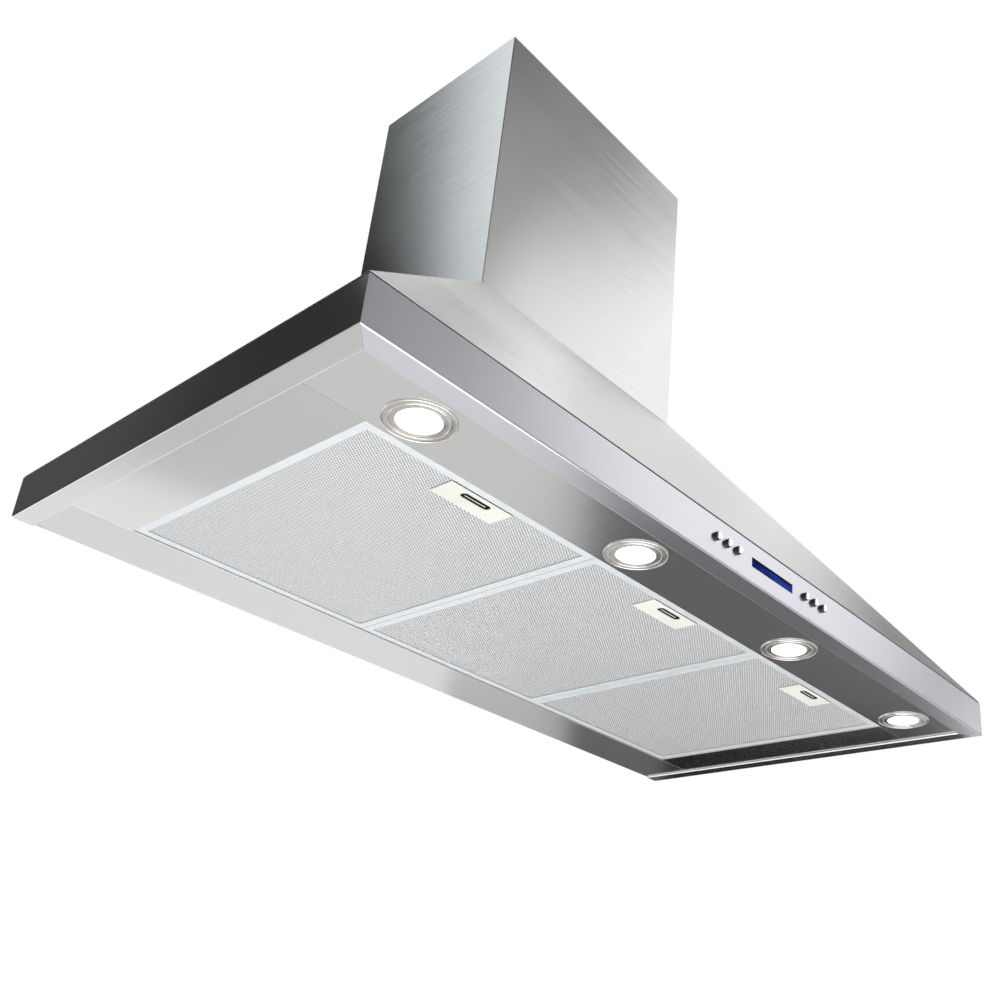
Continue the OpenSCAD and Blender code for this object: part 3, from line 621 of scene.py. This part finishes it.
for i in (1, 2, 3, 4):
    bezel, lens = f"lamp_{i}_bezel", f"lamp_{i}_lens"
    low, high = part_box(bezel)
    lens_low, lens_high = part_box(lens)
    centre = (low + high) / 2
    outer = (high.x - low.x) / 2
    lens_radius = (lens_high.x - lens_low.x) / 2
    outline = bezel_outline(outer, lens_radius - 0.5 * MM, low.z, PANEL, high.z)
    mesh = lathe(f"lamp_{i}_ring", outline, 128)
    mesh.transform(Matrix.Translation((centre.x, centre.y, 0)))
    show(f"lamp_{i}_rings", mesh, "canopy", [bezel_polish, bezel_satin], [bezel])
    for face in mesh.polygons:
        radius = math.hypot(face.center.x - centre.x, face.center.y - centre.y)
        from_bead = min(abs(radius - outer + BEAD), abs(radius - INNER_RING))
        polished = from_bead < BEAD * 1.02 or radius < lens_radius + 0.5 * MM
        face.material_index = int(not polished)
    rim = lens_radius - 0.1 * MM
    dome = [
        (0, lens_low.z),
        (lens_radius * 0.5, lens_low.z + 0.05 * MM),
        (lens_radius * 0.85, lens_low.z + 0.2 * MM),
        (rim, lens_low.z + 0.5 * MM),
        (rim, lens_high.z),
        (0, lens_high.z),
    ]
    mesh = lathe(f"lamp_{i}_dome", dome, 96)
    mesh.transform(Matrix.Translation((centre.x, centre.y, 0)))
    show(f"lamp_{i}_lens_dome", mesh, "canopy", [MATERIALS["lamp_lens"]], [lens])

# ---------------------------------------------------------------- controls


BUTTON_FLANGE = 1.2 * MM       # the hidden flange is this much wider than the face
BUTTON_STEM = 2.5 * MM
BUTTON_COLLAR = 2.6 * MM       # the flange's back, behind the fascia's front


def button_outline(radius, length, flange, stem):
    """Half section of a button, its face at height 0: crowned face, soft rim, flange and stem."""
    rim = 0.9 * MM
    outline = [(0, 0.0), (radius * 0.55, 0.04 * MM), (radius - rim, 0.16 * MM)]
    outline += arc((radius - rim, 0.16 * MM + rim), rim, -90, 0, 6)[1:]
    outline += [(radius, length - 1 * MM), (flange, length - 1 * MM), (flange, length), (stem, length)]
    return outline


for i in range(1, 7):
    node = f"button_{i}"
    low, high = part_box(node)
    centre = (low + high) / 2
    flange = (high.x - low.x) / 2
    outline = button_outline(flange - BUTTON_FLANGE, FRONT + BUTTON_COLLAR - low.y, flange, BUTTON_STEM)
    depth = high.y - low.y
    outline += [(BUTTON_STEM, depth - 0.4 * MM), (BUTTON_STEM - 0.4 * MM, depth), (0, depth)]
    mesh = lathe(f"button_{i}_cap_mesh", outline, 64)
    place = Matrix.Translation((centre.x, low.y, centre.z)) @ Matrix.Rotation(-math.pi / 2, 4, "X")
    mesh.transform(place)
    looks = [MATERIALS["button_chrome"], MATERIALS["black_plastic"]]
    show(f"button_{i}_turned", mesh, BODY_OF[node], looks, [node])
    for face in mesh.polygons:
        face.material_index = int(face.normal.y > -0.35)

softened("display_window", MATERIALS["display_glass"], edge=0.35 * MM)

# ---------------------------------------------------------------- inner parts

for node in ("chimney_wall_bracket", "blower_plate", "power_box", "display_module", "control_board"):
    softened(node, MATERIALS[SLOT_OF[node]], edge=SHEET_EDGE)

for node, obj in frame["nodes"].items():
    for material_slot in obj.material_slots:
        material_slot.material = MATERIALS[SLOT_OF[node]]

# ---------------------------------------------------------------- stage and light

FLOOR_LEVEL = -1.55


def make_floor():
    """A plain pale floor."""
    bm = bmesh.new()
    bmesh.ops.create_grid(bm, x_segments=8, y_segments=8, size=60)
    mesh = bpy.data.meshes.new("floor")
    bm.to_mesh(mesh)
    bm.free()
    floor = bpy.data.objects.new("floor", mesh)
    bpy.context.scene.collection.objects.link(floor)
    floor.location.z = FLOOR_LEVEL
    paint = (0.82, 0.82, 0.82)
    material, shader = new_material("floor_paint", paint, 0.0, 0.7)
    n = Nodes(material)
    cloud = n.noise(n.place((1, 1, 1)), 0.8, 3.0)
    n.link(n.tint(paint, n.spread(cloud, 0.99, 1.01)), shader.inputs["Base Color"])
    mesh.materials.append(material)
    return floor


def light_floor(floor, irradiance):
    """A broad soft light from above that only the floor takes, so that it looks pale from every side."""
    data = bpy.data.lights.new("floor_light", "SUN")
    data.energy = irradiance
    data.angle = math.radians(60)
    light = bpy.data.objects.new("floor_light", data)
    bpy.context.scene.collection.objects.link(light)
    receivers = bpy.data.collections.new("floor_only")
    receivers.objects.link(floor)
    light.light_linking.receiver_collection = receivers


FLAG_CENTRE = (-1.03, -1.24)      # in plan; the flags stand on a circle around it
FLAG_DISTANCE = 3.2


def make_flag(name, start, end, low, high, shade):
    """An upright cloth between two azimuths, which the underside mirrors and the camera doesn't see."""
    x, y = FLAG_CENTRE
    angles = [math.radians(azimuth) for azimuth in (start, end)]
    ends = [(x + FLAG_DISTANCE * math.sin(a), y + FLAG_DISTANCE * math.cos(a)) for a in angles]
    mesh = bpy.data.meshes.new(name)
    mesh.from_pydata([(x, y, z) for z in (low, high) for x, y in ends], [], [(0, 1, 3, 2)])
    flag = bpy.data.objects.new(name, mesh)
    bpy.context.scene.collection.objects.link(flag)
    dye = (shade, shade, shade)
    material, shader = new_material(name + "_cloth", dye, 0.0, 0.9, IOR=1.05)
    n = Nodes(material)
    weave = n.noise(n.place((1, 1, 1)), 300.0, 2.0)
    n.link(n.tint(dye, n.spread(weave, 0.8, 1.2)), shader.inputs["Base Color"])
    mesh.materials.append(material)
    flag.visible_camera = False
    flag.visible_shadow = False


LIT_POINT = Vector((0, -0.4, 0.1))


def softbox(name, place, target, size, radiance, color=(1, 1, 1)):
    """A rectangular light of even brightness that the camera doesn't see."""
    data = bpy.data.lights.new(name, "AREA")
    data.shape = "RECTANGLE"
    data.size, data.size_y = size
    data.energy = radiance * math.pi * size[0] * size[1]
    data.color = color
    light = bpy.data.objects.new(name, data)
    bpy.context.scene.collection.objects.link(light)
    light.location = place
    light.rotation_euler = (Vector(target) - Vector(place)).to_track_quat("-Z", "Y").to_euler()
    light.visible_camera = False
    return light


def studio_light(name, azimuth, elevation, wide, high, radiance, distance=5.0, color=(1, 1, 1)):
    """A softbox in a direction from the hood, in degrees. Azimuth is from +Y towards +X."""
    a, e = math.radians(azimuth), math.radians(elevation)
    direction = Vector((math.sin(a) * math.cos(e), math.cos(a) * math.cos(e), math.sin(e)))
    width = 2 * distance * math.tan(math.radians(wide / 2)) * math.cos(e)
    height = 2 * distance * math.tan(math.radians(high / 2))
    return softbox(name, LIT_POINT + direction * distance, LIT_POINT, (width, height), radiance, color)


def make_world(ambient):
    """White for the camera, a dim even grey for everything else."""
    world = bpy.data.worlds.new("studio")
    bpy.context.scene.world = world
    world.use_nodes = True
    tree = world.node_tree
    tree.nodes.clear()
    output = tree.nodes.new("ShaderNodeOutputWorld")
    mix = tree.nodes.new("ShaderNodeMixShader")
    path = tree.nodes.new("ShaderNodeLightPath")
    tree.links.new(path.outputs["Is Camera Ray"], mix.inputs["Fac"])
    for socket, strength in ((1, ambient), (2, 1.0)):
        background = tree.nodes.new("ShaderNodeBackground")
        background.inputs["Color"].default_value = (1, 1, 1, 1)
        background.inputs["Strength"].default_value = strength
        tree.links.new(background.outputs[0], mix.inputs[socket])
    tree.links.new(mix.outputs[0], output.inputs["Surface"])


floor = make_floor()
light_floor(floor, 1.7)
FLAG_SPLIT, FLAG_TOP = -0.50, 0.1
make_flag("grey_flag", 48, 68, FLOOR_LEVEL + 0.01, FLAG_SPLIT, 0.24)
make_flag("side_flag", 48, 53, FLAG_SPLIT, FLAG_TOP, 0.24)
make_flag("black_flag", 53, 68, FLAG_SPLIT, FLAG_TOP, 0.01)
make_world(0.04)
studio_light("front_right", 126, 31, 25, 31, 1.4)
studio_light("front_right_low", 122, 11, 24, 9, 0.9)
studio_light("front_right_edge", 105, 17, 15, 24, 0.7)
studio_light("front_shoulder", 148, 30, 20, 48, 0.5)
studio_light("front_wide", -170, 22, 44, 40, 0.25)
studio_light("left_front", -125, 24, 44, 40, 0.5)
studio_light("left_side", -85, 42, 34, 40, 0.5)
studio_light("right_high", 70, 45, 36, 26, 1.1)
studio_light("right_edge", 96, 32, 16, 24, 0.95)
studio_light("right_top", 93, 66, 55, 20, 1.7)
studio_light("right_shoulder", 112, 52, 20, 14, 0.9)
studio_light("back_left", -57, 42, 19, 30, 1.4, distance=14, color=(0.96, 0.98, 1))
studio_light("back_left_edge", -42.5, 46.5, 10, 23, 1.3, distance=14, color=(0.90, 0.96, 1))
studio_light("back_right", 41, 28, 22, 34, 1.3)
studio_light("back_dim", -20, 28, 14, 16, 0.06, distance=14)
studio_light("behind_low", 13, -20, 48, 16, 0.4, distance=2.6)
studio_light("behind_low_left", -28, -22, 26, 24, 0.8, distance=2.6)
studio_light("right_low", 86, -24, 24, 22, 0.3, distance=2.8)
studio_light("horizon", 47, 0, 36, 6, 1.5)
softbox("below", (-0.3, -1.0, -1.5), (-0.3, -1.0, 0), (2.4, 2.0), 2.2)

bpy.context.scene.view_settings.view_transform = "Standard"
